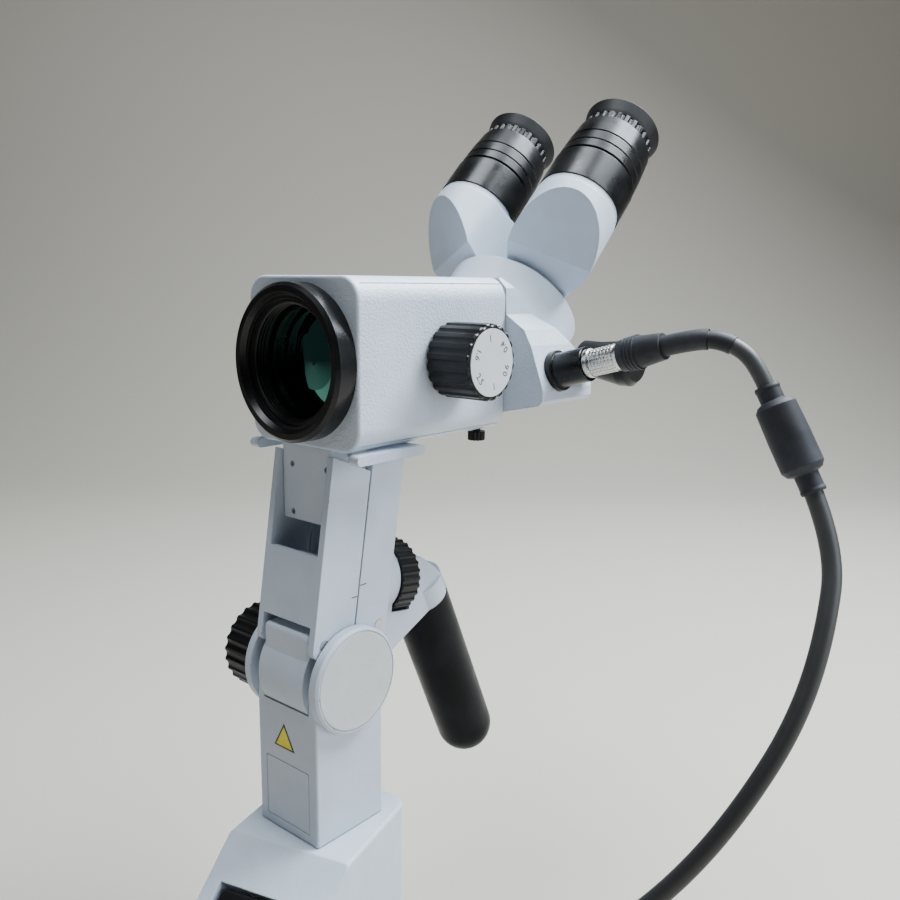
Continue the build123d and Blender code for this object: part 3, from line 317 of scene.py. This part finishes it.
thin_cable = cord_curve("thin_cable_sheath", thin_route, THIN_D)
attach(thin_cable, "head")
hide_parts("thin_cable")

hose = cord_curve("supply_hose", hose_route, HOSE_D)
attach(hose, "head")
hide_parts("hose")

# ================================================================ small pieces
def place_piece(name, form, material, body):
    """Make an object of a bmesh, in the object's frame, and let it ride on a body."""
    mesh = bpy.data.meshes.new(name)
    form.to_mesh(mesh)
    form.free()
    mesh.materials.append(finish[material])
    piece = bpy.data.objects.new(name, mesh)
    bpy.context.scene.collection.objects.link(piece)
    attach(piece, body)
    return piece


def smooth_sides(form, limit=0.6):
    for face in form.faces:
        face.smooth = True
    for edge in form.edges:
        if len(edge.link_faces) == 2 and edge.calc_face_angle() > limit:
            edge.smooth = False


def axis_frame(origin, direction, up=(0, 0, 1)):
    """Matrix whose Z runs along a direction from an origin, both in the object's frame."""
    z = Vector(direction).normalized()
    x = Vector(up).cross(z).normalized()
    y = z.cross(x)
    return Matrix.Translation(Vector(origin)) @ Matrix((x, y, z)).transposed().to_4x4()


def turned(profile_mm, frame_matrix, steps=72):
    """A closed solid of revolution from (radius, height) points in mm."""
    form = bmesh.new()
    rings = []
    for step in range(steps):
        turn = math.tau * step / steps
        points = [Vector((r * math.cos(turn), r * math.sin(turn), h)) * MM for r, h in profile_mm]
        rings.append([form.verts.new(frame_matrix @ point) for point in points])
    for ring, following in zip(rings, rings[1:] + rings[:1]):
        for k in range(len(profile_mm)):
            after = (k + 1) % len(profile_mm)
            form.faces.new((ring[k], following[k], following[after], ring[after]))
    bmesh.ops.recalc_face_normals(form, faces=form.faces)
    smooth_sides(form)
    return form


def add_box(form, frame_matrix, size_mm):
    made = bmesh.ops.create_cube(form, size=1.0)["verts"]
    scale = Matrix.Diagonal((*[c * MM for c in size_mm], 1))
    bmesh.ops.transform(form, matrix=frame_matrix @ scale, verts=made)


# knurled pads of the plug, between its silver ring and the boot
form = bmesh.new()
socket_frame = axis_frame(socket_at * MM, socket_dir, up=(0, 1, 0))
PAD_ROWS = 7
PADS_AROUND = 22
PAD_RADIUS = 6.35
PAD_START = 25.7             # along the socket axis
PAD_STEP = 1.95
PAD_SIZE = (0.7, 1.25, 1.4)
for row in range(PAD_ROWS):
    for step in range(PADS_AROUND):
        turn = Matrix.Rotation(math.tau * step / PADS_AROUND, 4, "Z")
        lift = Matrix.Translation((PAD_RADIUS * MM, 0, (PAD_START + row * PAD_STEP) * MM))
        add_box(form, socket_frame @ turn @ lift, PAD_SIZE)
place_piece("plug_knurling", form, "plated", "head")

# ridges round the thick part of the boot, which widens from its start
RIDGES = 4
RIDGE_START = 44.0
RIDGE_STEP = 1.9
BOOT_START = 41
for k in range(RIDGES):
    at = RIDGE_START + RIDGE_STEP * k
    radius = 7.6 + 0.4 * (at - BOOT_START) / 7
    ridge = [(radius - 0.6, at), (radius + 0.35, at), (radius + 0.35, at + 0.8), (radius - 0.6, at + 0.8)]
    place_piece(f"boot_ridge_{k + 1}", turned(ridge, socket_frame), "soft_rubber", "head")


def centreline(curve):
    """Points along a cord, read from its evaluated spline without its bevel."""
    bare = curve.data.copy()
    bare.bevel_depth = 0.0
    holder = bpy.data.objects.new("centreline", bare)
    bpy.context.scene.collection.objects.link(holder)
    bpy.context.view_layer.update()
    mesh = bpy.data.meshes.new_from_object(holder.evaluated_get(bpy.context.evaluated_depsgraph_get()))
    points = [vertex.co.copy() for vertex in mesh.vertices]
    bpy.data.objects.remove(holder)
    return points


SLEEVE_STEPS = 32


def sleeve_on(points, start, end, outer_mm, inner_mm):
    """A tube around part of a centreline, between two distances in metres."""
    form = bmesh.new()
    travelled = 0.0
    stations = []
    for before, here in zip(points, points[1:]):
        if start <= travelled <= end:
            stations.append((before, (here - before).normalized()))
        travelled += (here - before).length
    loops = []
    for place, direction in stations:
        matrix = axis_frame(place, direction, up=(0, 1, 0))
        around = [math.tau * step / SLEEVE_STEPS for step in range(SLEEVE_STEPS)]
        outer, inner = [[form.verts.new(matrix @ Vector((r * MM * math.cos(a), r * MM * math.sin(a), 0)))
                         for a in around] for r in (outer_mm / 2, inner_mm / 2)]
        loops.append((outer, inner))
    for (outer, inner), (next_outer, next_inner) in zip(loops, loops[1:]):
        for k in range(SLEEVE_STEPS):
            after = (k + 1) % SLEEVE_STEPS
            form.faces.new((outer[k], outer[after], next_outer[after], next_outer[k]))
            form.faces.new((inner[k], next_inner[k], next_inner[after], inner[after]))
    for (outer, inner), flip in ((loops[0], True), (loops[-1], False)):
        for k in range(SLEEVE_STEPS):
            after = (k + 1) % SLEEVE_STEPS
            ends = (outer[k], inner[k], inner[after], outer[after])
            form.faces.new(ends if flip else ends[::-1])
    bmesh.ops.recalc_face_normals(form, faces=form.faces)
    smooth_sides(form)
    return form


SLEEVE_BORE = 7.3            # a little inside the sheath, so that no gap shows
thin_points = centreline(thin_cable)
for name, start, end, outer in (("cable_sleeve_thick", 0.0, 0.021, 9.7),
                                ("cable_sleeve_thin", 0.021, 0.0325, 8.5)):
    sleeve = sleeve_on(thin_points, start, end, outer, SLEEVE_BORE)
    place_piece(name, sleeve, "soft_rubber", "head")

# numbers on the dial: the setting at each sixth of a turn, read from outside
DIAL_FACE_X = 60.92
DIAL_CENTRE = (52.1, 342.0)
NUMBER_RADIUS = 11.2
NUMBER_SIZE = 4.6
NUMBER_DEPTH = 0.04
settings = ((98, "1"), (38, "0.4"), (-22, "0.6"), (-82, "1"), (-142, "2.5"), (158, "1.6"))
finish["number_ink"] = plain_black("number_ink", (0.02, 0.022, 0.03), 0.5, 1500, 0.00001)
for number, (angle, text) in enumerate(settings):
    label = bpy.data.curves.new(f"number_{number + 1}", "FONT")
    label.body = text
    label.size = NUMBER_SIZE * MM
    label.extrude = NUMBER_DEPTH * MM
    label.align_x = "CENTER"
    label.align_y = "CENTER"
    label.resolution_u = 4
    drawn = bpy.data.objects.new("number_outline", label)
    bpy.context.scene.collection.objects.link(drawn)
    bpy.context.view_layer.update()
    mesh = bpy.data.meshes.new_from_object(drawn.evaluated_get(bpy.context.evaluated_depsgraph_get()))
    bpy.data.objects.remove(drawn)
    around = math.radians(angle)
    outward = Vector((0, math.cos(around), math.sin(around)))
    digit_up = -outward
    digit_right = digit_up.cross(Vector((1, 0, 0)))
    place = Vector((DIAL_FACE_X, *DIAL_CENTRE)) + outward * NUMBER_RADIUS
    turn = Matrix((digit_right, digit_up, Vector((1, 0, 0)))).transposed().to_4x4()
    mesh.transform(Matrix.Translation(place * MM) @ turn)
    mesh.materials.append(finish["number_ink"])
    piece = bpy.data.objects.new(f"dial_number_{number + 1}", mesh)
    bpy.context.scene.collection.objects.link(piece)
    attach(piece, "magnification_changer")

# thread rings inside the objective ring, seen round the lens
RING_FRONT = (0, -18.2 * MM, 342 * MM)
ring_frame = axis_frame(RING_FRONT, (0, 1, 0))
THREADS = 4
THREAD_START = 5.0
THREAD_STEP = 1.7
THREAD_OUTER = 26.6
THREAD_INNER = 25.6
for k in range(THREADS):
    at = THREAD_START + THREAD_STEP * k
    thread = [(THREAD_OUTER, at), (THREAD_INNER, at + 0.5),
              (THREAD_INNER, at + 0.8), (THREAD_OUTER, at + 1.2)]
    place_piece(f"ring_thread_{k + 1}", turned(thread, ring_frame),
                "black_anodised", "head")

# hazard triangle without its pictogram, on the front of the pillar
STICKER_X = -1.7
STICKER_Z = 165.2
PILLAR_FRONT = -21.3
sticker = {"sticker_border": ("number_ink", 14.5, 0.12), "sticker_face": ("sticker_yellow", 11.6, 0.2)}
finish["sticker_yellow"] = plain_black("sticker_yellow", (0.78, 0.56, 0.02), 0.45, 900, 0.00001)
for name, (ink, side_mm, thickness) in sticker.items():
    form = bmesh.new()
    corner = side_mm / math.sqrt(3)
    front_points = []
    for proud in (0.0, thickness):
        front_points.append([form.verts.new(Vector((
            STICKER_X + corner * math.sin(a), PILLAR_FRONT - proud, STICKER_Z + corner * math.cos(a))) * MM)
            for a in (0, math.tau / 3, 2 * math.tau / 3)])
    form.faces.new(front_points[0])
    form.faces.new(front_points[1][::-1])
    for k in range(3):
        after = (k + 1) % 3
        form.faces.new((front_points[0][k], front_points[1][k],
                        front_points[1][after], front_points[0][after]))
    bmesh.ops.recalc_face_normals(form, faces=form.faces)
    place_piece(name, form, ink, "pillar")

# index lines printed on the side of the arm, one on each side of the joint line
ARM_SIDE = 19.81
for name, body, y, z, length in (("index_line_rear", "rear_link", 10.1, 238.7, 4.2),
                                 ("index_line_front", "front_link", 4.3, 234.0, 3.4)):
    form = bmesh.new()
    add_box(form, Matrix.Translation((ARM_SIDE * MM, y * MM, z * MM)), (0.08, length, 0.5))
    place_piece(name, form, "number_ink", body)

# ================================================================ stage, lights and camera
AZIMUTH = math.radians(40.09)
PITCH = math.radians(-10.55)
ROLL = math.radians(0.59)
camera_data = bpy.data.cameras.new("camera")
camera_data.sensor_width = 36
camera_data.lens = 36
camera = bpy.data.objects.new("camera", camera_data)
bpy.context.scene.collection.objects.link(camera)
camera.location = (0.3084, -0.2710, 0.3775)
camera.rotation_mode = "QUATERNION"
level = Matrix.Rotation(AZIMUTH, 4, "Z") @ Matrix.Rotation(math.radians(90) + PITCH, 4, "X")
camera.rotation_quaternion = level.to_quaternion() @ Quaternion((0, 0, 1), ROLL)
bpy.context.scene.camera = camera


def area_light(name, place, target, width, height, watts, colour=(1, 1, 1)):
    data = bpy.data.lights.new(name, "AREA")
    data.shape = "RECTANGLE"
    data.size = width
    data.size_y = height
    data.energy = watts
    data.color = colour
    light = bpy.data.objects.new(name, data)
    bpy.context.scene.collection.objects.link(light)
    light.location = place
    light.rotation_euler = (Vector(target) - Vector(place)).to_track_quat("-Z", "Y").to_euler()
    return light


centre = (0.03, 0.04, 0.3)
area_light("ceiling_panel", (0.35, 0.75, 1.35), centre, 0.9, 0.7, 80, (0.84, 0.93, 1.0))
area_light("overhead_panel", (0.0, -0.1, 1.9), centre, 0.8, 0.5, 30, (0.88, 0.95, 1.0))
area_light("side_panel", (1.5, 0.35, 0.6), centre, 0.8, 0.8, 13, (0.84, 0.93, 1.0))
area_light("front_panel", (-0.5, -1.4, 0.9), centre, 0.5, 0.7, 0.8, (0.92, 0.95, 1.0))
area_light("lens_panel", (0.02, -0.85, 0.75), (0, 0, 0.34), 0.16, 0.16, 0.5, (0.92, 0.97, 1.0))

world = bpy.data.worlds.new("studio")
world.use_nodes = True
world.node_tree.nodes["Background"].inputs["Color"].default_value = (0.86, 0.88, 0.92, 1)
world.node_tree.nodes["Background"].inputs["Strength"].default_value = 0.05
bpy.context.scene.world = world


def backdrop():
    """A pale floor that curves up into a wall behind the object."""
    mesh = bpy.data.meshes.new("backdrop")
    form = bmesh.new()
    profile = [(-3.0, 0.0), (1.2, 0.0)]
    bend = 0.8
    profile += [(1.2 + bend * math.sin(a), bend - bend * math.cos(a))
                for a in (math.radians(step * 9) for step in range(1, 11))]
    profile.append((2.0, 3.5))
    turn = Matrix.Rotation(AZIMUTH, 3, "Z")
    rows = []
    for side in (-4.0, 4.0):
        rows.append([form.verts.new(turn @ Vector((side, y, z - 0.0005))) for y, z in profile])
    for a, b, c, d in zip(rows[0], rows[0][1:], rows[1][1:], rows[1]):
        form.faces.new((a, d, c, b))
    form.to_mesh(mesh)
    form.free()
    for polygon in mesh.polygons:
        polygon.use_smooth = True
    floor = Surface("stage_paper", (0.42, 0.385, 0.335), 0.85)
    floor.bump(floor.noise(300, 3), 0.0001)
    mesh.materials.append(floor.material)
    piece = bpy.data.objects.new("backdrop", mesh)
    bpy.context.scene.collection.objects.link(piece)


backdrop()
